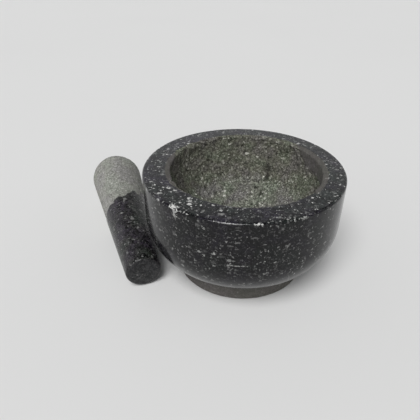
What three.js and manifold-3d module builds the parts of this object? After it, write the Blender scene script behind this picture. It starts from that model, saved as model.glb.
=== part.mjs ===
// A stone mortar with its loose pestle: a polished granite bowl on a short plain foot, and a
// tapered pestle lying on the floor beside it. Millimetres, +Z up, the origin on the floor under
// the middle of the foot. Each stone is one solid, and the two don't touch.

import * as THREE from 'three';
import { mergeVertices } from 'three/addons/utils/BufferGeometryUtils.js';
import Module from 'manifold-3d';

// ---------------------------------------------------------------- driving dimensions

const MORTAR = {
  height: 80,          // floor to rim
  radius: 70,          // of the upright wall and the rim
  rimEdge: 1.6,        // rounding of the rim's outer edge
  bellyTop: 47,        // where the upright wall turns into the belly
  bellyBottom: 12,     // where the belly's ellipse would run level
  bellyInner: 36.5,    // radius at that level point
  footRadius: 48,
  footEdge: 1.8,       // rounding of the foot's lower edge
};

const HOLLOW = {
  radius: 52.2,        // of the mouth
  depth: 54,
  lipEdge: 1.6,        // rounding of the rim's inner edge
  offset: [1.7, 0.7],  // the hollow was ground slightly off the bowl's centre
  overshoot: 6,        // how far the cutter stands above the rim
};

const PESTLE = {
  length: 151,
  headRadius: 22.2,
  endRadius: 13,
  endEdge: 3,          // rounding of the flat handle end
  endDome: 0.6,        // how far the middle of that end stands proud
  restsAt: [-69.9, -34.7],   // middle of the handle end, seen from above
  pointsTo: [-110.5, 87.4],  // middle of the head, seen from above
};

const SEGMENTS = { mortar: 64, pestle: 40 };

// ---------------------------------------------------------------- profiles

/** Points along an elliptical arc in the (radius, height) plane, angles in degrees. */
function arc(centre, radii, from, to, steps) {
  const points = [];
  for (let i = 0; i <= steps; i += 1) {
    const angle = THREE.MathUtils.degToRad(from + ((to - from) * i) / steps);
    const radius = centre[0] + radii[0] * Math.cos(angle);
    const height = centre[1] + radii[1] * Math.sin(angle);
    points.push(new THREE.Vector2(radius, height));
  }
  return points;
}

/** A point on the axis, where every profile starts and ends. */
function onAxis(height) {
  return new THREE.Vector2(0, height);
}

/** The outside of the bowl: flat foot, belly, upright wall and flat top. */
function mortarProfile() {
  const m = MORTAR;
  const bellyRadii = [m.radius - m.bellyInner, m.bellyTop - m.bellyBottom];
  const meets = Math.acos((m.footRadius - m.bellyInner) / bellyRadii[0]);
  const meetsDegrees = -THREE.MathUtils.radToDeg(meets);
  return [
    onAxis(0),
    ...arc([m.footRadius - m.footEdge, m.footEdge], [m.footEdge, m.footEdge], -90, 0, 3),
    ...arc([m.bellyInner, m.bellyTop], bellyRadii, meetsDegrees, 0, 10),
    ...arc([m.radius - m.rimEdge, m.height - m.rimEdge], [m.rimEdge, m.rimEdge], 0, 90, 3),
    onAxis(m.height),
  ];
}

/** The space inside the bowl, with a flared mouth that rounds the rim's inner edge. */
function hollowProfile() {
  const h = HOLLOW;
  const lip = MORTAR.height - h.lipEdge;
  const mouth = h.radius + h.lipEdge;
  const basin = arc([0, lip], [h.radius, h.depth - h.lipEdge], -90, 0, 13);
  basin[0] = onAxis(MORTAR.height - h.depth);
  return [
    ...basin,
    ...arc([mouth, lip], [h.lipEdge, h.lipEdge], 180, 90, 3).slice(1),
    new THREE.Vector2(mouth, MORTAR.height + h.overshoot),
    onAxis(MORTAR.height + h.overshoot),
  ];
}

/** The pestle from its handle end, at height 0, to the tip of its round head. */
function pestleProfile() {
  const p = PESTLE;
  const headCentre = p.length - p.headRadius;
  const slope = Math.asin((p.headRadius - p.endRadius) / headCentre);
  const lean = THREE.MathUtils.radToDeg(slope);
  const head = arc([0, headCentre], [p.headRadius, p.headRadius], -lean, 90, 11);
  head[head.length - 1] = onAxis(p.length);
  return [
    onAxis(-p.endDome),
    ...arc([p.endRadius - p.endEdge, p.endEdge], [p.endEdge, p.endEdge], -90, -lean, 3),
    ...head,
  ];
}

// ---------------------------------------------------------------- solids

/** A closed solid of revolution about Z. */
function turned(profile, segments) {
  return new THREE.LatheGeometry(profile, segments).rotateX(Math.PI / 2);
}

const wasm = await Module();
wasm.setup();

/** A three.js geometry as a solid that can be cut. */
function toSolid(geometry) {
  const bare = geometry.clone();
  bare.deleteAttribute('normal');
  bare.deleteAttribute('uv');
  const merged = mergeVertices(bare, 1e-4);
  const vertProperties = new Float32Array(merged.attributes.position.array);
  const triVerts = new Uint32Array(merged.index.array);
  return new wasm.Manifold(new wasm.Mesh({ numProp: 3, vertProperties, triVerts }));
}

/** A cut solid back as a three.js geometry. */
function toGeometry(solid) {
  const { vertProperties, triVerts } = solid.getMesh();
  const geometry = new THREE.BufferGeometry();
  geometry.setAttribute('position', new THREE.BufferAttribute(vertProperties, 3));
  geometry.setIndex(new THREE.BufferAttribute(triVerts, 1));
  geometry.computeVertexNormals();
  return geometry;
}

/** A named mesh with a plain finish of its own. */
function piece(name, geometry, finish) {
  const mesh = new THREE.Mesh(geometry, new THREE.MeshStandardMaterial(finish));
  mesh.name = name;
  return mesh;
}

// ---------------------------------------------------------------- pieces

/** The bowl, with the hollow cut out of it. */
function makeMortar() {
  const block = toSolid(turned(mortarProfile(), SEGMENTS.mortar));
  const space = turned(hollowProfile(), SEGMENTS.mortar);
  space.translate(HOLLOW.offset[0], HOLLOW.offset[1], 0);
  const bowl = block.subtract(toSolid(space));
  return piece('mortar', toGeometry(bowl), { color: 0x3c3b3d, roughness: 0.3, metalness: 0 });
}

/** The pestle, laid down so that its head and its handle end both touch the floor. */
function makePestle() {
  const p = PESTLE;
  const geometry = turned(pestleProfile(), SEGMENTS.pestle);
  const mesh = piece('pestle', geometry, { color: 0x4a494a, roughness: 0.4, metalness: 0 });
  const end = new THREE.Vector3(p.restsAt[0], p.restsAt[1], p.endRadius);
  const head = new THREE.Vector3(p.pointsTo[0], p.pointsTo[1], p.headRadius);
  const along = head.clone().sub(end).normalize();
  mesh.quaternion.setFromUnitVectors(new THREE.Vector3(0, 0, 1), along);
  mesh.position.copy(head).addScaledVector(along, p.headRadius - p.length);
  return mesh;
}

const molcajete = new THREE.Group();
molcajete.name = 'molcajete';
molcajete.add(makeMortar(), makePestle());

export default molcajete;
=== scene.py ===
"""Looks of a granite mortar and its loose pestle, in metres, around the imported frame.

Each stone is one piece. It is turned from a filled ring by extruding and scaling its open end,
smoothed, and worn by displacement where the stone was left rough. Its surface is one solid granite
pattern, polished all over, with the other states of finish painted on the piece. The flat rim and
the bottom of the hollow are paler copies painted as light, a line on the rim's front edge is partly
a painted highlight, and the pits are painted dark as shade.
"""

import logging
import math
from dataclasses import dataclass, field
from enum import Enum
from typing import Any, Callable

import bpy
from mathutils import Matrix, Vector, noise


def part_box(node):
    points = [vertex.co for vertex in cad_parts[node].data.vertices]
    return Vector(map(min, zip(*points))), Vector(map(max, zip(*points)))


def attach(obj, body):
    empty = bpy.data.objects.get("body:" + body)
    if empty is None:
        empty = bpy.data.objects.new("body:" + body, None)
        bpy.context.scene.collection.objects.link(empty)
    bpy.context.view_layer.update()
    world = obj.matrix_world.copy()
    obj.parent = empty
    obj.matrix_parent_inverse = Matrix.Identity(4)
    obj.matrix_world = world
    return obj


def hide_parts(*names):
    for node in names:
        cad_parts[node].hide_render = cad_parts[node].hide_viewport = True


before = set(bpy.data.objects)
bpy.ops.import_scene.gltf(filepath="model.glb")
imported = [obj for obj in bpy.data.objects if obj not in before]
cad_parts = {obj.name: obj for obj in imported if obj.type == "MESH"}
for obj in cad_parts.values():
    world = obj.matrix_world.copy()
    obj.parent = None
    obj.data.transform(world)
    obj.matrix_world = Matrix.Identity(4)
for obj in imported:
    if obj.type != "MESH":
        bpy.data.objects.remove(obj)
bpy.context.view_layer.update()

MM = 0.001
LOG = logging.getLogger("stones")

Pair = tuple[float, float]
Triple = tuple[float, float, float]
Colour = Triple


# ---------------------------------------------------------------- small sums


def smoothstep(value: float, low: float, high: float) -> float:
    """Rises smoothly from 0 at low to 1 at high.

    Args:
        value: Where to read the curve.
        low: Where it leaves 0.
        high: Where it reaches 1.

    Returns:
        A number from 0 to 1.
    """
    share = min(max((value - low) / (high - low), 0.0), 1.0)
    return share * share * (3.0 - 2.0 * share)


def arc(centre: Pair, radii: Pair, start: float, stop: float, steps: int) -> list[Pair]:
    """Points along an elliptical arc in the (radius, height) plane.

    Args:
        centre: Middle of the ellipse.
        radii: Its half axes, across and up.
        start: First angle in degrees, 0 pointing outwards and 90 up.
        stop: Last angle in degrees.
        steps: Number of steps between them.

    Returns:
        steps + 1 points, as (radius, height).
    """
    points = []
    for step in range(steps + 1):
        angle = math.radians(start + (stop - start) * step / steps)
        across = centre[0] + radii[0] * math.cos(angle)
        points.append((across, centre[1] + radii[1] * math.sin(angle)))
    return points


def between(start: Pair, stop: Pair, steps: int) -> list[Pair]:
    """Points along a straight stretch, without its two ends.

    Args:
        start: Where the stretch starts.
        stop: Where it stops.
        steps: Number of steps that it is cut into.

    Returns:
        steps - 1 points, as (radius, height).
    """
    points = []
    for step in range(1, steps):
        share = step / steps
        across = start[0] + (stop[0] - start[0]) * share
        points.append((across, start[1] + (stop[1] - start[1]) * share))
    return points


@dataclass(frozen=True)
class Ragged:
    """How far a ragged edge strays to either side, how long its waves are, and where they start."""

    reach: float
    waves: float
    shift: Triple = (0.0, 0.0, 0.0)

    def at(self, point: Vector) -> float:
        """How far the edge strays at a point."""
        return self.reach * noise.noise(point / self.waves + Vector(self.shift))


# ---------------------------------------------------------------- turning a stone


@dataclass(frozen=True)
class Ring:
    """One ring of a turned stone: its radius, its height and where its middle is."""

    radius: float
    height: float
    shift: Pair = (0.0, 0.0)

    @property
    def centre(self) -> Vector:
        """Middle of the ring."""
        return Vector((self.shift[0], self.shift[1], self.height))


class Lathe:
    """Turns one stone about Z: a filled ring whose open end is extruded and scaled, ring by ring."""

    def __init__(self, name: str, segments: int, first: Ring) -> None:
        """Adds the first ring and leaves it selected in edit mode.

        Args:
            name: Name of the piece.
            segments: Number of sides of every ring.
            first: The first ring, at height 0 on the axis.
        """
        bpy.ops.object.select_all(action="DESELECT")
        bpy.ops.mesh.primitive_circle_add(vertices=segments, radius=first.radius, fill_type="NGON")
        self.piece = bpy.context.active_object
        self.piece.name = name
        self.piece.data.name = name
        self.last = first
        bpy.ops.object.mode_set(mode="EDIT")
        bpy.ops.mesh.select_mode(type="FACE")
        bpy.ops.mesh.select_all(action="SELECT")

    def turn(self, ring: Ring) -> None:
        """Extrudes the open end to the next ring.

        Args:
            ring: The ring that the open end takes.
        """
        step = ring.centre - self.last.centre
        bpy.ops.mesh.extrude_region_move(TRANSFORM_OT_translate={"value": step})
        scale = ring.radius / self.last.radius
        bpy.ops.transform.resize(value=(scale, scale, 1.0), center_override=ring.centre)
        self.last = ring

    def done(self) -> bpy.types.Object:
        """Closes the work and turns the faces outwards.

        Returns:
            The turned piece, in object mode.
        """
        bpy.ops.mesh.select_all(action="SELECT")
        bpy.ops.mesh.normals_make_consistent(inside=False)
        bpy.ops.object.mode_set(mode="OBJECT")
        bpy.ops.object.shade_smooth()
        return self.piece


def apply_modifier(piece: bpy.types.Object, modifier: bpy.types.Modifier) -> None:
    """Applies one modifier of a piece.

    Args:
        piece: The piece.
        modifier: The modifier, with its settings made.
    """
    bpy.ops.object.select_all(action="DESELECT")
    piece.select_set(True)
    bpy.context.view_layer.objects.active = piece
    bpy.ops.object.modifier_apply(modifier=modifier.name)


def subdivide(piece: bpy.types.Object, levels: int) -> None:
    """Smooths a piece with an applied subdivision surface.

    Args:
        piece: The piece.
        levels: How many times each face is divided.
    """
    smoother = piece.modifiers.new("smooth", "SUBSURF")
    smoother.levels = levels
    smoother.render_levels = levels
    apply_modifier(piece, smoother)


class Wear(Enum):
    """Kinds of relief that a tool or use leaves in stone."""

    SWELL = "CLOUDS"
    PITS = "VORONOI"


@dataclass(frozen=True)
class Relief:
    """One layer of relief: its kind, the width of its features and how deep it goes."""

    kind: Wear
    width: float
    depth: float
    stops: tuple[Pair, ...] = ((0.0, 0.0), (1.0, 1.0))

    def press(self, piece: bpy.types.Object, group: str) -> None:
        """Presses the relief into a piece, only ever inwards.

        Args:
            piece: The piece.
            group: Name of the vertex group that says how strongly.
        """
        texture = bpy.data.textures.new(f"{piece.name}_{group}", self.kind.value)
        texture.noise_scale = self.width
        texture.use_color_ramp = True
        ramp = texture.color_ramp
        while len(ramp.elements) < len(self.stops):
            ramp.elements.new(0.5)
        for element, (position, level) in zip(ramp.elements, self.stops, strict=True):
            element.position = position
            element.color = (level, level, level, 1.0)
        presser = piece.modifiers.new(texture.name, "DISPLACE")
        presser.texture = texture
        presser.texture_coords = "LOCAL"
        presser.vertex_group = group
        presser.mid_level = 1.0
        presser.strength = self.depth
        apply_modifier(piece, presser)


def paint(piece: bpy.types.Object, name: str, weight: Callable[[Vector], float]) -> None:
    """Paints a weight over a piece, as a vertex group and as an attribute that materials read.

    Args:
        piece: The piece.
        name: Name of both.
        weight: Gives the weight at a point, from 0 to 1.
    """
    weights = [weight(vertex.co) for vertex in piece.data.vertices]
    group = piece.vertex_groups.new(name=name)
    for index, value in enumerate(weights):
        if value > 0.0:
            group.add([index], value, "REPLACE")
    layer = piece.data.attributes.new(f"{name}_share", "FLOAT", "POINT")
    layer.data.foreach_set("value", weights)


# ---------------------------------------------------------------- shader maths


class Value:
    """A shader socket. Its operators add Math nodes."""

    def __init__(self, graph: "Graph", socket: bpy.types.NodeSocket) -> None:
        """Wraps a socket of a graph."""
        self.graph = graph
        self.socket = socket

    def __add__(self, other: "Value | float") -> "Value":
        """This plus other."""
        return self.graph.sum("ADD", self, other)

    def __radd__(self, other: float) -> "Value":
        """Other plus this."""
        return self.graph.sum("ADD", other, self)

    def __sub__(self, other: "Value | float") -> "Value":
        """This less other."""
        return self.graph.sum("SUBTRACT", self, other)

    def __rsub__(self, other: float) -> "Value":
        """Other less this."""
        return self.graph.sum("SUBTRACT", other, self)

    def __mul__(self, other: "Value | float") -> "Value":
        """This times other."""
        return self.graph.sum("MULTIPLY", self, other)

    def __rmul__(self, other: float) -> "Value":
        """Other times this."""
        return self.graph.sum("MULTIPLY", other, self)

    def rise(self, low: float, high: float) -> "Value":
        """A smooth step of this.

        Args:
            low: Where the step leaves 0.
            high: Where it reaches 1. It may be lower than low.

        Returns:
            The step, from 0 to 1.
        """
        settings = {"interpolation_type": "SMOOTHSTEP"}
        ends = {"Value": self, "From Min": low, "From Max": high}
        return self.graph.node("ShaderNodeMapRange", settings, ends).out("Result")


class Made:
    """A node that was added to a graph."""

    def __init__(self, graph: "Graph", node: bpy.types.Node) -> None:
        """Wraps a node of a graph."""
        self.graph = graph
        self.node = node

    def out(self, name: str | int) -> Value:
        """The output socket with that name or number."""
        return Value(self.graph, self.node.outputs[name])


class Graph:
    """The node tree of one material, or of the surroundings."""

    def __init__(self, name: str, tree: bpy.types.NodeTree | None = None) -> None:
        """Starts an empty tree.

        Args:
            name: Name of the new material, where no tree is given.
            tree: A tree that exists already.
        """
        if tree is None:
            self.material = bpy.data.materials.new(name)
            self.material.use_nodes = True
        self.tree = tree or self.material.node_tree
        self.tree.nodes.clear()

    def node(
        self,
        kind: str,
        settings: dict[str, Any] | None = None,
        inputs: dict[str | int, Any] | None = None,
    ) -> Made:
        """Adds a node.

        Args:
            kind: Its type.
            settings: Its properties, which are set first. "stops" holds a ramp's stops.
            inputs: What its sockets hold: a number, a colour, a vector or a Value to link.

        Returns:
            The node.
        """
        made = self.tree.nodes.new(kind)
        for name, setting in (settings or {}).items():
            if name == "stops":
                self._set_stops(made.color_ramp, setting)
            else:
                setattr(made, name, setting)
        for name, given in (inputs or {}).items():
            if isinstance(given, Value):
                self.tree.links.new(given.socket, made.inputs[name])
            else:
                made.inputs[name].default_value = given
        return Made(self, made)

    @staticmethod
    def _set_stops(ramp: bpy.types.ColorRamp, stops: tuple[tuple[float, Colour], ...]) -> None:
        """Gives a ramp its stops, as (position, colour)."""
        while len(ramp.elements) < len(stops):
            ramp.elements.new(0.5)
        for element, (position, colour) in zip(ramp.elements, stops, strict=True):
            element.position = position
            element.color = (*colour, 1.0)

    def sum(self, operation: str, first: "Value | float", second: "Value | float") -> Value:
        """A Math node of two values."""
        made = self.node("ShaderNodeMath", {"operation": operation}, {0: first, 1: second})
        return made.out(0)

    def mix(
        self,
        share: "Value | float",
        first: "Value | Colour",
        second: "Value | Colour",
        blend: str = "MIX",
    ) -> Value:
        """Mixes two colours.

        Args:
            share: How much of the second shows, from 0 to 1.
            first: The first colour.
            second: The second colour.
            blend: The Mix node's way of blending them.

        Returns:
            The mixed colour.
        """
        inputs = {0: share}
        for index, colour in ((6, first), (7, second)):
            inputs[index] = colour if isinstance(colour, Value) else (*colour, 1.0)
        settings = {"data_type": "RGBA", "blend_type": blend}
        return self.node("ShaderNodeMix", settings, inputs).out(2)

    def vector(self, operation: str, first: Value, second: "Value | Triple | float") -> Value:
        """A Vector Math node. A single number scales the vector."""
        if operation == "SCALE":
            inputs = {0: first, "Scale": second}
        else:
            inputs = {0: first, 1: second}
        return self.node("ShaderNodeVectorMath", {"operation": operation}, inputs).out(0)

    def painted(self, name: str) -> Value:
        """The share of that name that is painted on the piece."""
        return self.node("ShaderNodeAttribute", {"attribute_name": f"{name}_share"}).out("Fac")

    def finish(self, shader: Made) -> bpy.types.Material:
        """Links the shader to the output.

        Args:
            shader: The Principled shader.

        Returns:
            The finished material.
        """
        self.node("ShaderNodeOutputMaterial", None, {"Surface": shader.out("BSDF")})
        return self.material


# ---------------------------------------------------------------- granite


@dataclass(frozen=True)
class Tones:
    """Colours of one state of finish or painted-light copy, in linear light, with gloss, relief, edge,
    tint and painted pit shade.
    """

    dark: Colour
    mid: Colour
    pale: Colour
    bright: Colour
    roughness: float
    relief: float
    ragged: float = 0.2
    tint: float = 0.15
    pit_shade: Colour | None = None


@dataclass(frozen=True)
class Mark:
    """A single mark: a pale vein or patch, partly painted highlight, or a pit painted dark: where it
    lies round the stone, and its half sizes.
    """

    azimuth: float
    radius: float
    height: float
    along: float
    across: float
    up: float
    strength: float = 1.0

    @property
    def centre(self) -> Triple:
        """Middle of the mark."""
        angle = math.radians(self.azimuth)
        return (self.radius * math.cos(angle), self.radius * math.sin(angle), self.height)

    @property
    def turn(self) -> Triple:
        """Turn that lays the mark along the side of the stone."""
        return (0.0, 0.0, math.radians(self.azimuth + 90.0))


@dataclass(frozen=True)
class Grains:
    """One family of mineral grains: their width in millimetres, and how many and how big they are."""

    width: float
    share: float
    reach: float
    shift: Triple
    stretch: Triple = (1.0, 1.0, 1.0)


LATHS = Grains(width=2.6, share=0.50, reach=0.48, shift=(37.0, 11.0, 53.0), stretch=(0.55, 0.8, 1.25))
FLECKS = Grains(width=1.45, share=0.62, reach=0.60, shift=(5.0, 71.0, 19.0))
SPECKS = Grains(width=1.0, share=0.70, reach=0.75, shift=(91.0, 23.0, 7.0))
PITS = Grains(width=4.2, share=0.42, reach=0.40, shift=(29.0, 67.0, 31.0))
CLOTS = Grains(width=6.5, share=0.30, reach=0.46, shift=(13.0, 47.0, 83.0), stretch=(0.7, 0.9, 1.2))


@dataclass(frozen=True)
class Waves:
    """One layer of noise from 0 to 1: its waves in one unit of length, and its finer layers."""

    scale: float
    detail: float

    def over(self, graph: Graph, place: Value) -> Made:
        """Adds the layer to a graph, read at a place."""
        inputs = {"Vector": place, "Scale": self.scale, "Detail": self.detail}
        return graph.node("ShaderNodeTexNoise", None, inputs)


@dataclass(frozen=True)
class Pattern:
    """Numbers of the granite pattern. A Pair is where a smooth step leaves 0 and where it reaches 1."""

    warp: Waves = Waves(0.8, 3.0)
    fine: Waves = Waves(0.8, 4.0)
    blotch: Waves = Waves(0.25, 4.0)
    cloud: Waves = Waves(0.07, 2.0)
    grit: Waves = Waves(0.7, 4.0)
    seed_step: Triple = (1.0, 1.7, 0.6)
    warp_reach: float = 3.2
    grain_edge: Pair = (-0.02, 0.12)
    faintest_grain: float = 0.12
    crack_spacing: float = 3.2
    crack_edge: Pair = (0.13, 0.02)
    crack_patches: Pair = (0.43, 0.59)
    crack_breaks: Pair = (0.38, 0.50)
    clot_breaks: Pair = (0.40, 0.62)
    fleck_patches: Pair = (0.30, 0.62)
    fewest_flecks: float = 0.45
    mottle_edge: Pair = (0.40, 0.63)
    mottle_fine: float = 0.6
    mark_fine: float = 0.5
    mark_ragged: float = 4.5
    mark_edge: Pair = (0.0, 0.45)
    mark_limit: Pair = (1.9, 1.3)
    speck_cover: float = 0.7
    clot_cover: float = 0.6
    pit_cover: float = 0.9
    pit_depth: float = 0.8
    middle: float = 0.5
    finish_edge: Pair = (0.38, 0.62)
    lath_roughness: float = 0.10
    bump_distance: float = 0.7 * MM
    tints: tuple[tuple[float, Colour], ...] = (
        (0.38, (0.98, 0.84, 1.20)),
        (0.50, (1.0, 1.0, 1.0)),
        (0.62, (0.86, 1.10, 0.90)),
    )


PATTERN = Pattern()


@dataclass(frozen=True)
class Places:
    """Where a stone's pattern is read, and the noises that several of its layers share."""

    spot: Value
    start: Value
    bent: Value
    warp: Value
    fine: Value
    cloud: Value


@dataclass(frozen=True)
class Masks:
    """Where each kind of grain, mark and pit shows, from 0 to 1, and the tint of the stone; pits are
    painted shade.

    plenty says how full a patch is of flecks and laths.
    """

    mottle: Value
    specks: Value
    flecks: Value
    laths: Value
    plenty: Value
    clots: Value
    marks: Value | float
    pits_and_shade: Value
    tint: Value


@dataclass(frozen=True)
class Granite:
    """Dark granite with pale feldspar: polished, and painted elsewhere in other finishes, painted light
    and shade.
    """

    polished: Tones
    others: dict[str, Tones]
    seed: float
    marks: tuple[Mark, ...] = ()
    shaded_pits: tuple[Mark, ...] = ()
    ior: float = 1.45
    specular: float = 0.33

    @staticmethod
    def _grains(graph: Graph, place: Value, family: Grains) -> Value:
        """Scattered mineral grains, each with its own brightness.

        Args:
            graph: The material's graph.
            place: Where the pattern is read, in millimetres.
            family: The family of grains.

        Returns:
            A mask, 0 outside the grains and up to 1 inside the palest.
        """
        moved = graph.vector("MULTIPLY", graph.vector("ADD", place, family.shift), family.stretch)
        cells = graph.node("ShaderNodeTexVoronoi", None, {"Vector": moved, "Scale": 1.0 / family.width})
        draw = graph.node("ShaderNodeSeparateColor", None, {0: cells.out("Color")})
        radius = (draw.out(0) - (1.0 - family.share)) * (family.reach / family.share)
        drawn = draw.out(1)
        tone = drawn * drawn * drawn * (1.0 - PATTERN.faintest_grain) + PATTERN.faintest_grain
        return (radius - cells.out("Distance")).rise(*PATTERN.grain_edge) * tone

    @staticmethod
    def _cracks(graph: Graph, place: Value) -> Value:
        """Gaps between the grains of rough stone, painted dark as painted shade.

        Args:
            graph: The material's graph.
            place: Where the pattern is read, in millimetres.

        Returns:
            A mask, 1 in a gap.
        """
        settings = {"feature": "DISTANCE_TO_EDGE"}
        inputs = {"Vector": place, "Scale": 1.0 / PATTERN.crack_spacing}
        edges = graph.node("ShaderNodeTexVoronoi", settings, inputs)
        return edges.out("Distance").rise(*PATTERN.crack_edge)

    @staticmethod
    def _marked(graph: Graph, spot: Value, ragged: Value, marks: tuple[Mark, ...]) -> Value | float:
        """Single marks of the stone.

        Args:
            graph: The material's graph.
            spot: Object coordinates.
            ragged: Noise from 0 to 1 that breaks their outlines.
            marks: The marks.

        Returns:
            A mask, 0 outside the marks and up to 1 inside the strongest.
        """
        total: Value | float = 0.0
        for mark in marks:
            inputs = {
                "Vector": spot,
                "Location": mark.centre,
                "Rotation": mark.turn,
                "Scale": (mark.along, mark.across, mark.up),
            }
            local = graph.node("ShaderNodeMapping", {"vector_type": "TEXTURE"}, inputs).out(0)
            away = graph.node("ShaderNodeVectorMath", {"operation": "LENGTH"}, {0: local}).out("Value")
            inside = 1.0 - away + (ragged - PATTERN.middle) * PATTERN.mark_ragged
            inside = inside.rise(*PATTERN.mark_edge) * away.rise(*PATTERN.mark_limit)
            total = graph.sum("MAXIMUM", total, inside * mark.strength)
        return total

    def _places(self, graph: Graph) -> Places:
        """Moves the stone's coordinates by its seed, and warps them.

        Args:
            graph: The material's graph.

        Returns:
            Where the pattern is read.
        """
        spot = graph.node("ShaderNodeTexCoord").out("Object")
        millimetres = graph.vector("SCALE", spot, 1.0 / MM)
        seed = tuple(self.seed * step for step in PATTERN.seed_step)
        start = graph.vector("ADD", millimetres, seed)
        warp = PATTERN.warp.over(graph, start)
        bend = graph.vector("SUBTRACT", warp.out("Color"), (PATTERN.middle,) * 3)
        return Places(
            spot=spot,
            start=start,
            bent=graph.vector("ADD", start, graph.vector("SCALE", bend, PATTERN.warp_reach)),
            warp=warp.out(0),
            fine=PATTERN.fine.over(graph, start).out(0),
            cloud=PATTERN.cloud.over(graph, start).out(0),
        )

    def _masks(self, graph: Graph, places: Places) -> Masks:
        """Lays out the grains, marks, cracks and pits.

        Args:
            graph: The material's graph.
            places: Where the pattern is read.

        Returns:
            The masks.
        """
        fine, bent = places.fine, places.bent
        blotch = PATTERN.blotch.over(graph, places.start).out(0)
        plenty = places.cloud.rise(*PATTERN.fleck_patches) * (1.0 - PATTERN.fewest_flecks)
        plenty = plenty + PATTERN.fewest_flecks
        mottle = fine * PATTERN.mottle_fine + blotch * (1.0 - PATTERN.mottle_fine)
        ragged = fine * PATTERN.mark_fine + places.warp * (1.0 - PATTERN.mark_fine)
        cracks = self._cracks(graph, bent) * blotch.rise(*PATTERN.crack_patches)
        cracks = cracks * fine.rise(*PATTERN.crack_breaks)
        pits = graph.sum("MAXIMUM", cracks, self._grains(graph, bent, PITS))
        ramp = graph.node("ShaderNodeValToRGB", {"stops": PATTERN.tints}, {"Fac": places.cloud})
        return Masks(
            mottle=mottle.rise(*PATTERN.mottle_edge),
            specks=self._grains(graph, bent, SPECKS),
            flecks=self._grains(graph, bent, FLECKS),
            laths=self._grains(graph, bent, LATHS),
            plenty=plenty,
            clots=self._grains(graph, bent, CLOTS) * fine.rise(*PATTERN.clot_breaks),
            marks=self._marked(graph, places.spot, ragged, self.marks),
            pits_and_shade=graph.sum("MAXIMUM", pits, self._marked(graph, places.spot, fine, self.shaded_pits)),
            tint=ramp.out("Color"),
        )

    @staticmethod
    def _colour(graph: Graph, masks: Masks, tones: Tones) -> Value:
        """Colour of the stone all over in one state of finish.

        Args:
            graph: The material's graph.
            masks: Where each kind of grain shows.
            tones: The state of finish.

        Returns:
            The colour.
        """
        colour = graph.mix(masks.mottle, tones.dark, tones.mid)
        colour = graph.mix(tones.tint, colour, masks.tint, "MULTIPLY")
        colour = graph.mix(masks.specks * PATTERN.speck_cover, colour, tones.pale)
        colour = graph.mix(masks.flecks * masks.plenty, colour, tones.bright)
        colour = graph.mix(masks.laths * masks.plenty, colour, tones.bright)
        colour = graph.mix(masks.clots * PATTERN.clot_cover, colour, tones.pale)
        colour = graph.mix(masks.marks, colour, tones.bright)
        # Pits and cracks are painted dark in the rough finishes: painted shade in the recesses.
        if tones.pit_shade is None:
            return colour
        return graph.mix(masks.pits_and_shade * PATTERN.pit_cover, colour, tones.pit_shade)

    def material(self, name: str) -> bpy.types.Material:
        """Builds the material. It reads the share of each other finish and painted-light copy painted
        on its piece.

        Args:
            name: Name of the material.

        Returns:
            The material.
        """
        graph = Graph(name)
        places = self._places(graph)
        masks = self._masks(graph, places)
        colour = self._colour(graph, masks, self.polished)
        rough = masks.laths * PATTERN.lath_roughness + self.polished.roughness
        relief: Value | float = self.polished.relief
        for finish, tones in self.others.items():
            share = graph.painted(finish) + (places.fine - PATTERN.middle) * tones.ragged
            share = share.rise(*PATTERN.finish_edge)
            colour = graph.mix(share, colour, self._colour(graph, masks, tones))
            rough = rough + share * (tones.roughness - rough)
            relief = relief + share * (tones.relief - relief)
        grit = PATTERN.grit.over(graph, places.bent).out(0)
        height = (grit + places.fine - masks.pits_and_shade * PATTERN.pit_depth) * relief
        bump = graph.node("ShaderNodeBump", None, {"Height": height, "Distance": PATTERN.bump_distance})
        inputs = {
            "Base Color": colour,
            "Roughness": rough,
            "IOR": self.ior,
            "Specular IOR Level": self.specular,
            "Normal": bump.out("Normal"),
        }
        return graph.finish(graph.node("ShaderNodeBsdfPrincipled", None, inputs))


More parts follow.
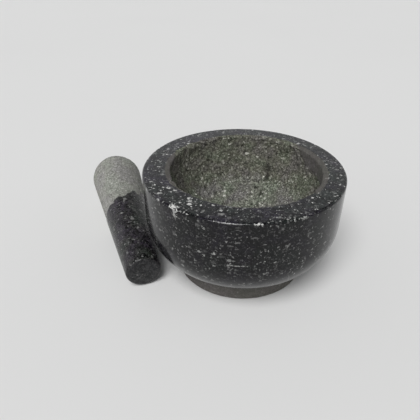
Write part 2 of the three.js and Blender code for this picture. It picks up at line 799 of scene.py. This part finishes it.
MORTAR_STONE = Granite(
    # The polish all over. Its flecks are painted dimmer than the rim's: painted shade on the upright
    # wall.
    polished=Tones(
        dark=(0.0018, 0.0018, 0.0022),
        mid=(0.0085, 0.0085, 0.0094),
        pale=(0.062, 0.062, 0.062),
        bright=(0.29, 0.29, 0.283),
        roughness=0.15,
        relief=0.01,
        tint=1.0,
    ),
    others={
        # A paler copy of the polish on the flat rim and the lip: painted light on the top, which faces
        # the lamp, and a little rougher.
        "rim": Tones(
            dark=(0.0025, 0.0025, 0.0030),
            mid=(0.027, 0.027, 0.030),
            pale=(0.090, 0.090, 0.090),
            bright=(0.68, 0.68, 0.66),
            roughness=0.20,
            relief=0.02,
            tint=1.0,
        ),
        # The rough, pecked hollow. Its tones are darker than the basin's: painted shade on the steep
        # upper wall.
        "ground": Tones(
            dark=(0.075, 0.074, 0.057),
            mid=(0.225, 0.225, 0.181),
            pale=(0.32, 0.32, 0.268),
            bright=(0.64, 0.64, 0.57),
            roughness=0.85,
            relief=1.0,
            ragged=1.2,
            tint=0.40,
            # Nearly black in the pits and cracks: painted shade in the recesses.
            pit_shade=(0.022, 0.022, 0.017),
        ),
        # A paler, less olive copy of the rough stone at the bottom of the hollow: painted light where
        # it faces the lamp.
        "basin": Tones(
            dark=(0.086, 0.088, 0.071),
            mid=(0.303, 0.308, 0.262),
            pale=(0.47, 0.475, 0.413),
            bright=(0.95, 0.95, 0.87),
            roughness=0.85,
            relief=1.0,
            ragged=1.6,
            tint=0.40,
            # Nearly black in the pits and cracks: painted shade in the recesses.
            pit_shade=(0.022, 0.022, 0.018),
        ),
        "sawn": Tones(
            dark=(0.074, 0.070, 0.064),
            mid=(0.112, 0.105, 0.098),
            pale=(0.14, 0.132, 0.123),
            bright=(0.22, 0.21, 0.198),
            roughness=0.8,
            relief=0.2,
            ragged=0.4,
        ),
    },
    seed=3.0,
    marks=(
        Mark(-131.0, 68.6 * MM, 79.4 * MM, 3.1 * MM, 1.9 * MM, 1.5 * MM),
        Mark(-129.2, 70.0 * MM, 77.0 * MM, 1.9 * MM, 1.5 * MM, 3.6 * MM),
        # Partly a painted highlight: a thin pale line along the rim's rounded front edge, where the
        # lamp's highlight falls, on pale grains.
        Mark(-101.0, 69.6 * MM, 79.4 * MM, 15.0 * MM, 0.45 * MM, 0.45 * MM, 0.3),
        Mark(-86.5, 69.2 * MM, 79.2 * MM, 2.2 * MM, 0.9 * MM, 1.2 * MM, 0.8),
        Mark(-64.0, 69.6 * MM, 79.2 * MM, 3.0 * MM, 0.7 * MM, 0.9 * MM, 0.4),
        Mark(-96.5, 70.0 * MM, 49.4 * MM, 8.0 * MM, 0.7 * MM, 0.45 * MM, 0.7),
        Mark(-107.0, 70.0 * MM, 57.0 * MM, 0.9 * MM, 0.8 * MM, 0.9 * MM, 1.0),
        Mark(-115.5, 70.0 * MM, 56.0 * MM, 2.0 * MM, 0.8 * MM, 0.9 * MM, 0.7),
    ),
    # Dark pit clusters in the hollow, painted dark as shade, and sunk by the bump.
    shaded_pits=(
        Mark(60.5, 49.0 * MM, 57.5 * MM, 3.2 * MM, 3.4 * MM, 3.8 * MM),
        Mark(60.0, 46.0 * MM, 51.0 * MM, 1.8 * MM, 2.8 * MM, 4.4 * MM),
        Mark(61.5, 36.5 * MM, 39.5 * MM, 1.3 * MM, 3.0 * MM, 2.6 * MM),
        Mark(33.0, 52.0 * MM, 66.0 * MM, 1.8 * MM, 2.4 * MM, 2.2 * MM),
        Mark(109.0, 44.5 * MM, 51.0 * MM, 2.6 * MM, 2.6 * MM, 1.6 * MM),
        Mark(131.0, 40.5 * MM, 46.0 * MM, 1.6 * MM, 2.0 * MM, 2.0 * MM),
    ),
)

PESTLE_STONE = Granite(
    polished=Tones(
        dark=(0.0020, 0.0020, 0.0024),
        mid=(0.035, 0.033, 0.033),
        pale=(0.068, 0.067, 0.066),
        bright=(0.25, 0.25, 0.243),
        roughness=0.25,
        relief=0.20,
        tint=1.0,
    ),
    others={
        "ground": Tones(
            dark=(0.215, 0.215, 0.195),
            mid=(0.385, 0.386, 0.353),
            pale=(0.45, 0.45, 0.413),
            bright=(0.60, 0.60, 0.56),
            roughness=0.9,
            relief=0.7,
            ragged=1.6,
            # Darker in the pits and cracks: painted shade in the recesses.
            pit_shade=(0.13, 0.13, 0.113),
        ),
        "sawn": Tones(
            dark=(0.004, 0.004, 0.005),
            mid=(0.032, 0.032, 0.033),
            pale=(0.065, 0.065, 0.065),
            bright=(0.13, 0.13, 0.128),
            roughness=0.40,
            relief=0.05,
            ragged=0.4,
        ),
    },
    seed=41.0,
)


# ---------------------------------------------------------------- the mortar


HOLLOW_PECKING = (
    Relief(Wear.SWELL, 11.0 * MM, 1.2 * MM, ((0.25, 0.0), (0.75, 1.0))),
    Relief(Wear.SWELL, 3.4 * MM, 0.9 * MM, ((0.30, 0.0), (0.70, 1.0))),
    Relief(Wear.PITS, 5.0 * MM, 1.6 * MM, ((0.0, 0.0), (0.30, 1.0))),
)
SAW_WAVES = Relief(Wear.SWELL, 2.2 * MM, 0.25 * MM)
RIM_CHIPS = Relief(Wear.PITS, 3.6 * MM, 1.0 * MM, ((0.0, 0.0), (0.32, 1.0)))


@dataclass
class Mortar:
    """The bowl: one stone with a sawn foot, a polished belly, wall and rim, and a ground hollow.

    The fields called band and edge are where a smooth step leaves 0 and where it reaches 1.
    """

    segments: int = 80
    levels: int = 2
    under_steps: int = 6
    corner_steps: int = 4
    foot_steps: int = 4
    belly_steps: int = 14
    wall_steps: int = 10
    rim_steps: int = 6
    hollow_steps: int = 25
    foot_radius: float = 48.0 * MM
    foot_corner: float = 1.8 * MM
    belly_inner: float = 36.5 * MM
    belly_bottom: float = 12.0 * MM
    belly_top: float = 47.0 * MM
    rim_corner: float = 1.6 * MM
    lip: float = 1.6 * MM
    mouth_radius: float = 52.2 * MM
    depth: float = 54.0 * MM
    offset: Pair = (1.7 * MM, 0.7 * MM)
    pole: float = 3.0 * MM
    below_hollow: float = 2.0 * MM
    # Where the rim's paler copy of the polish, painted light, fades out down the outer edge.
    lit_rim_band: Pair = (1.2 * MM, 0.3 * MM)
    ground_start: float = -2.8 * MM
    front_start: float = 2.4 * MM
    front_band: Pair = (20.0 * MM, 50.0 * MM)
    ground_ragged: Ragged = Ragged(1.9 * MM, 5.0 * MM)
    ground_edge: Pair = (0.0, 1.8 * MM)
    pecked_edge: Pair = (1.4 * MM, 3.6 * MM)
    smoothed: float = 0.72
    # Where the bottom of the hollow is painted paler, as painted light.
    lit_basin_ragged: Ragged = Ragged(9.0 * MM, 16.0 * MM)
    lit_basin_edge: Pair = (26.0 * MM, 58.0 * MM)
    foot_reach: float = 4.0 * MM
    foot_margin: float = 1.2 * MM
    foot_band: Pair = (0.5 * MM, -0.3 * MM)
    right_strip: float = 17.0 * MM
    right_edge: Pair = (0.70, 0.93)
    left_strip: float = 9.0 * MM
    left_edge: Pair = (0.90, 0.98)
    strip_back: float = 4.0 * MM
    strip_ragged: Ragged = Ragged(1.5 * MM, 6.0 * MM)
    strip_start: Pair = (-3.0 * MM, -1.8 * MM)
    strip_fade: float = 1.0 * MM
    chip_band: Pair = (2.4 * MM, 0.8 * MM)
    chip_patches: Ragged = Ragged(1.0, 14.0 * MM, (3.0, 8.0, 1.0))
    patch_edge: Pair = (-0.15, 0.35)
    low: Vector = field(default_factory=lambda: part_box("mortar")[0])
    high: Vector = field(default_factory=lambda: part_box("mortar")[1])

    @property
    def radius(self) -> float:
        """Radius of the upright wall and the rim."""
        return self.high.x

    @property
    def height(self) -> float:
        """Height of the rim above the floor."""
        return self.high.z

    @property
    def foot_top(self) -> float:
        """Height at which the belly meets the upright foot."""
        share = (self.foot_radius - self.belly_inner) / (self.radius - self.belly_inner)
        return self.belly_top - (self.belly_top - self.belly_bottom) * math.sqrt(1.0 - share * share)

    def _outside(self) -> list[Pair]:
        """Rings of the underside, foot, belly, wall and the rim's outer edge."""
        flat = self.foot_radius - self.foot_corner
        under = between((self.pole, 0.0), (flat, 0.0), self.under_steps)
        corner = (self.foot_corner, self.foot_corner)
        foot = arc((flat, self.foot_corner), corner, -90, 0, self.corner_steps)
        radii = (self.radius - self.belly_inner, self.belly_top - self.belly_bottom)
        meets = -math.degrees(math.acos((self.foot_radius - self.belly_inner) / radii[0]))
        belly = arc((self.belly_inner, self.belly_top), radii, meets, 0, self.belly_steps)
        upright = between(foot[-1], belly[0], self.foot_steps)
        wall_top = self.height - self.rim_corner
        wall = between(belly[-1], (self.radius, wall_top), self.wall_steps)
        corner = (self.rim_corner, self.rim_corner)
        rim = arc((self.radius - self.rim_corner, wall_top), corner, 0, 90, self.corner_steps)
        return under + foot + upright + belly + wall + rim

    def _inside(self) -> list[Pair]:
        """Rings of the hollow, from the lip down to its bottom."""
        lip = self.height - self.lip
        mouth = self.mouth_radius + self.lip
        rounding = arc((mouth, lip), (self.lip, self.lip), 90, 180, self.corner_steps)
        radii = (self.mouth_radius, self.depth - self.lip)
        basin = arc((0.0, lip), radii, 0, -90, self.hollow_steps)
        return rounding + basin[1:-1]

    def turn(self) -> bpy.types.Object:
        """Turns the bowl, with the hollow a little off the bowl's middle.

        Returns:
            The smoothed bowl.
        """
        lathe = Lathe("mortar_stone", self.segments, Ring(self.pole, 0.0))
        for radius, height in self._outside():
            lathe.turn(Ring(radius, height))
        outer, inner = lathe.last, self._inside()
        flat = between((outer.radius, outer.height), inner[0], self.rim_steps)
        for index, (radius, height) in enumerate(flat, start=1):
            share = index / self.rim_steps
            lathe.turn(Ring(radius, height, (self.offset[0] * share, self.offset[1] * share)))
        for radius, height in inner:
            lathe.turn(Ring(radius, height, self.offset))
        piece = lathe.done()
        subdivide(piece, self.levels)
        return piece

    def _into_hollow(self, point: Vector) -> float:
        """How far a point lies inside the hollow, from the flat rim's inner edge round the lip."""
        if point.z < self.height - self.depth - self.below_hollow:
            return -1.0
        away = math.hypot(point.x - self.offset[0], point.y - self.offset[1])
        inwards = self.mouth_radius + self.lip - away
        return inwards + (self.height - point.z if inwards > 0.0 else 0.0)

    def _past_edge(self, point: Vector) -> float:
        """How far a point lies inside the ragged edge of the ground hollow."""
        start = self.ground_start + self.front_start * smoothstep(-point.y, *self.front_band)
        return self._into_hollow(point) - start - self.ground_ragged.at(point)

    def _ground(self, point: Vector) -> float:
        """How strongly the hollow is ground at a point."""
        return smoothstep(self._past_edge(point), *self.ground_edge)

    def _pecked(self, point: Vector) -> float:
        """How deeply the hollow is pecked at a point: less at its edge and on its smooth strips."""
        smooth = 1.0 - self.smoothed * self._sawn(point)
        return smoothstep(self._past_edge(point), *self.pecked_edge) * smooth

    def _lit_basin(self, point: Vector) -> float:
        """How strongly the bottom of the hollow is painted paler: painted light where it faces the
        lamp.
        """
        return smoothstep(self._into_hollow(point) + self.lit_basin_ragged.at(point), *self.lit_basin_edge)

    def _lit_rim(self, point: Vector) -> float:
        """A point's share of the flat rim's paler copy of the polish, painted light. The lip has all of
        it, under what is ground.
        """
        if self._into_hollow(point) > 0.0:
            return 1.0
        return smoothstep(self.height - point.z, *self.lit_rim_band)

    def _foot(self, point: Vector) -> float:
        """How strongly the stone is sawn at a low point: the foot's side and the underside."""
        if math.hypot(point.x, point.y) > self.foot_radius + self.foot_margin:
            return 0.0
        return smoothstep(point.z - self.foot_top, *self.foot_band)

    def _sawn(self, point: Vector) -> float:
        """How strongly the stone is left smooth and matt: the foot, the underside, part of the lip."""
        if point.z < self.belly_bottom + self.foot_reach:
            return self._foot(point)
        away = Vector((point.x - self.offset[0], point.y - self.offset[1])).normalized()
        reach = self.right_strip * smoothstep(away.x, *self.right_edge)
        reach += self.left_strip * smoothstep(-away.x, *self.left_edge)
        reach += self.strip_ragged.at(point) - self.strip_back
        into = self._into_hollow(point)
        fade = smoothstep(into - reach, self.strip_fade, -self.strip_fade)
        return smoothstep(into, *self.strip_start) * fade

    def _chipped(self, point: Vector) -> float:
        """How strongly the rim's outer edge is chipped at a point."""
        from_edge = math.hypot(math.hypot(point.x, point.y) - self.radius, point.z - self.height)
        patches = smoothstep(self.chip_patches.at(point), *self.patch_edge)
        return smoothstep(from_edge, *self.chip_band) * patches

    def wear(self, piece: bpy.types.Object) -> None:
        """Paints the states of finish and presses the relief into the stone.

        Args:
            piece: The turned bowl.
        """
        # The rim is a paler copy of the polish, painted light on the top.
        paint(piece, "rim", self._lit_rim)
        paint(piece, "ground", self._ground)
        paint(piece, "pecked", self._pecked)
        # The basin is a paler copy of the rough stone, painted light on the bottom of the hollow.
        paint(piece, "basin", self._lit_basin)
        paint(piece, "sawn", self._sawn)
        paint(piece, "chipped", self._chipped)
        for relief in HOLLOW_PECKING:
            relief.press(piece, "pecked")
        SAW_WAVES.press(piece, "sawn")
        RIM_CHIPS.press(piece, "chipped")

    def build(self) -> bpy.types.Object:
        """Makes the finished bowl.

        Returns:
            The piece.
        """
        piece = self.turn()
        self.wear(piece)
        piece.data.materials.append(MORTAR_STONE.material("mortar_granite"))
        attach(piece, "mortar")
        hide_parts("mortar")
        return piece


# ---------------------------------------------------------------- the pestle


HEAD_WEAR = (
    Relief(Wear.SWELL, 8.0 * MM, 0.5 * MM),
    Relief(Wear.SWELL, 2.0 * MM, 0.4 * MM),
    Relief(Wear.PITS, 3.6 * MM, 0.5 * MM, ((0.0, 0.0), (0.20, 1.0))),
)


@dataclass
class Pestle:
    """The pestle: one stone with a polished handle, a flat end and a rough round head."""

    segments: int = 48
    levels: int = 2
    end_steps: int = 3
    corner_steps: int = 4
    side_steps: int = 34
    head_steps: int = 14
    end_radius: float = 13.0 * MM
    end_corner: float = 3.0 * MM
    end_dome: float = 0.6 * MM
    pole: float = 1.5 * MM
    worn_from: float = 78.0 * MM
    worn_tilt: float = 9.0 * MM
    worn_ragged: tuple[Ragged, ...] = (Ragged(7.0 * MM, 14.0 * MM), Ragged(5.0 * MM, 5.0 * MM))
    worn_fade: float = 2.5 * MM
    end_band: Pair = (2.4 * MM, 1.0 * MM)
    low: Vector = field(default_factory=lambda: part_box("pestle")[0])
    high: Vector = field(default_factory=lambda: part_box("pestle")[1])

    def __post_init__(self) -> None:
        """Works out the head's middle, the stone's direction and its length from the frame."""
        self.head_radius = (self.high.z - self.low.z) / 2
        across = (self.low.x + self.head_radius, self.high.y - self.head_radius)
        self.head = Vector((*across, self.low.z + self.head_radius))
        vertices = [vertex.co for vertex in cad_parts["pestle"].data.vertices]
        middle = sum(vertices, Vector()) / len(vertices)
        self.along = (self.head - middle).normalized()
        self.length = self.head_radius - min((v - self.head).dot(self.along) for v in vertices)

    def _rings(self) -> list[Pair]:
        """Rings from the handle's flat end to the tip of the head, from height 0."""
        centre = self.length - self.head_radius
        run = centre - self.end_dome
        lean = math.degrees(math.asin((self.head_radius - self.end_radius) / run))
        flat = self.end_radius - self.end_corner
        end = between((self.pole, 0.0), (flat, self.end_dome), self.end_steps)
        radii = (self.end_corner, self.end_corner)
        corner = arc((flat, self.end_dome + self.end_corner), radii, -90, -lean, self.corner_steps)
        radii = (self.head_radius, self.head_radius)
        head = arc((0.0, centre), radii, -lean, 90, self.head_steps)
        return end + corner + between(corner[-1], head[0], self.side_steps) + head[:-1]

    def turn(self) -> bpy.types.Object:
        """Turns the pestle upright and lays it down where the frame has it.

        Returns:
            The smoothed pestle.
        """
        lathe = Lathe("pestle_stone", self.segments, Ring(self.pole, 0.0))
        for radius, height in self._rings():
            lathe.turn(Ring(radius, height))
        piece = lathe.done()
        subdivide(piece, self.levels)
        turned = Vector((0.0, 0.0, 1.0)).rotation_difference(self.along).to_matrix().to_4x4()
        end = self.head + self.along * (self.head_radius - self.length)
        piece.matrix_world = Matrix.Translation(end) @ turned
        bpy.ops.object.transform_apply(location=True, rotation=True, scale=True)
        return piece

    def _from_end(self, point: Vector) -> float:
        """How far a point lies along the pestle from its flat end."""
        return self.length - self.head_radius + (point - self.head).dot(self.along)

    def _ground(self, point: Vector) -> float:
        """How strongly the head is ground at a point, with a ragged border to the polish."""
        side = Vector((self.along.y, -self.along.x, 0.0))
        inwards = (point - self.head).dot(side) / self.head_radius
        ragged = sum(layer.at(point) for layer in self.worn_ragged)
        past = self._from_end(point) + ragged - self.worn_tilt * inwards - self.worn_from
        return smoothstep(past, -self.worn_fade, self.worn_fade)

    def _sawn(self, point: Vector) -> float:
        """How strongly the stone is left sawn at a point: the flat end."""
        return smoothstep(self._from_end(point), *self.end_band)

    def wear(self, piece: bpy.types.Object) -> None:
        """Paints the states of finish and presses the relief into the stone.

        Args:
            piece: The turned pestle.
        """
        paint(piece, "ground", self._ground)
        paint(piece, "sawn", self._sawn)
        for relief in HEAD_WEAR:
            relief.press(piece, "ground")

    def build(self) -> bpy.types.Object:
        """Makes the finished pestle.

        Returns:
            The piece.
        """
        piece = self.turn()
        self.wear(piece)
        piece.data.materials.append(PESTLE_STONE.material("pestle_granite"))
        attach(piece, "pestle")
        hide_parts("pestle")
        return piece


# ---------------------------------------------------------------- the studio


@dataclass
class Studio:
    """A plain pale floor under soft light, and the camera."""

    floor_radius: float = 9.0
    floor_sides: int = 128
    floor_colour: Colour = (0.78, 0.78, 0.775)
    floor_shade: float = 0.97
    floor_waves: Waves = Waves(2.0, 2.0)
    floor_roughness: float = 0.7
    floor_specular: float = 0.2
    sky_colour: Colour = (0.98, 0.99, 1.0)
    wall_level: float = 0.57
    wall_top: Pair = (0.72, 0.45)
    ceiling_level: float = 0.10
    wall_tilt: Triple = (-0.30, 0.20, 0.0)
    wall_least: float = -0.12
    lamp_level: float = 0.81
    lamp_width: float = 32.0
    lamp_from: Triple = (-0.20, -0.54, 0.818)
    eye: Triple = (-23.2 * MM, -261.7 * MM, 214.1 * MM)
    eye_pitch: float = 57.0
    lens: float = 36.09
    sensor: float = 36.0
    clip: Pair = (0.01, 100.0)

    def floor(self) -> None:
        """Lays the floor."""
        bpy.ops.object.select_all(action="DESELECT")
        bpy.ops.mesh.primitive_circle_add(
            vertices=self.floor_sides, radius=self.floor_radius, fill_type="NGON"
        )
        floor = bpy.context.active_object
        floor.name = "floor"
        graph = Graph("pale_paper")
        spot = graph.node("ShaderNodeTexCoord").out("Object")
        tone = self.floor_waves.over(graph, spot).out(0)
        darker = tuple(part * self.floor_shade for part in self.floor_colour)
        inputs = {
            "Base Color": graph.mix(tone, darker, self.floor_colour),
            "Roughness": self.floor_roughness,
            "Specular IOR Level": self.floor_specular,
        }
        floor.data.materials.append(graph.finish(graph.node("ShaderNodeBsdfPrincipled", None, inputs)))

    def light(self) -> None:
        """Sets the even surroundings and the one large lamp."""
        world = bpy.data.worlds.new("surroundings")
        world.use_nodes = True
        graph = Graph("surroundings", world.node_tree)
        direction = graph.node("ShaderNodeTexCoord").out("Generated")
        inputs = {0: direction, 1: self.wall_tilt}
        tilt = graph.node("ShaderNodeVectorMath", {"operation": "DOT_PRODUCT"}, inputs).out("Value")
        upwards = graph.node("ShaderNodeSeparateXYZ", None, {0: direction}).out("Z")
        wall = upwards.rise(*self.wall_top) * (self.wall_level - self.ceiling_level)
        tilted = graph.sum("MAXIMUM", tilt, self.wall_least) + 1.0
        strength = (wall + self.ceiling_level) * tilted
        inputs = {"Color": (*self.sky_colour, 1.0), "Strength": strength}
        background = graph.node("ShaderNodeBackground", None, inputs)
        graph.node("ShaderNodeOutputWorld", None, {"Surface": background.out(0)})
        bpy.context.scene.world = world
        bpy.ops.object.light_add(type="SUN", location=self.lamp_from)
        lamp = bpy.context.active_object
        lamp.name = "soft_lamp"
        lamp.data.angle = math.radians(self.lamp_width)
        lamp.data.energy = self.lamp_level * math.pi
        lamp.rotation_euler = (-Vector(self.lamp_from)).to_track_quat("-Z", "Y").to_euler()

    def camera(self) -> None:
        """Places the camera."""
        rotation = (math.radians(self.eye_pitch), 0.0, 0.0)
        bpy.ops.object.camera_add(location=self.eye, rotation=rotation)
        camera = bpy.context.active_object
        camera.data.lens = self.lens
        camera.data.sensor_width = self.sensor
        camera.data.clip_start, camera.data.clip_end = self.clip
        bpy.context.scene.camera = camera
        bpy.context.scene.view_settings.view_transform = "Standard"

    def build(self) -> None:
        """Makes the floor, the light and the camera."""
        self.floor()
        self.light()
        self.camera()


def main() -> None:
    logging.basicConfig(level=logging.INFO, format="%(name)s: %(message)s")
    for maker in (Mortar(), Pestle()):
        piece = maker.build()
        LOG.info("%s has %d faces", piece.name, len(piece.data.polygons))
    Studio().build()


if __name__ == "__main__":
    main()
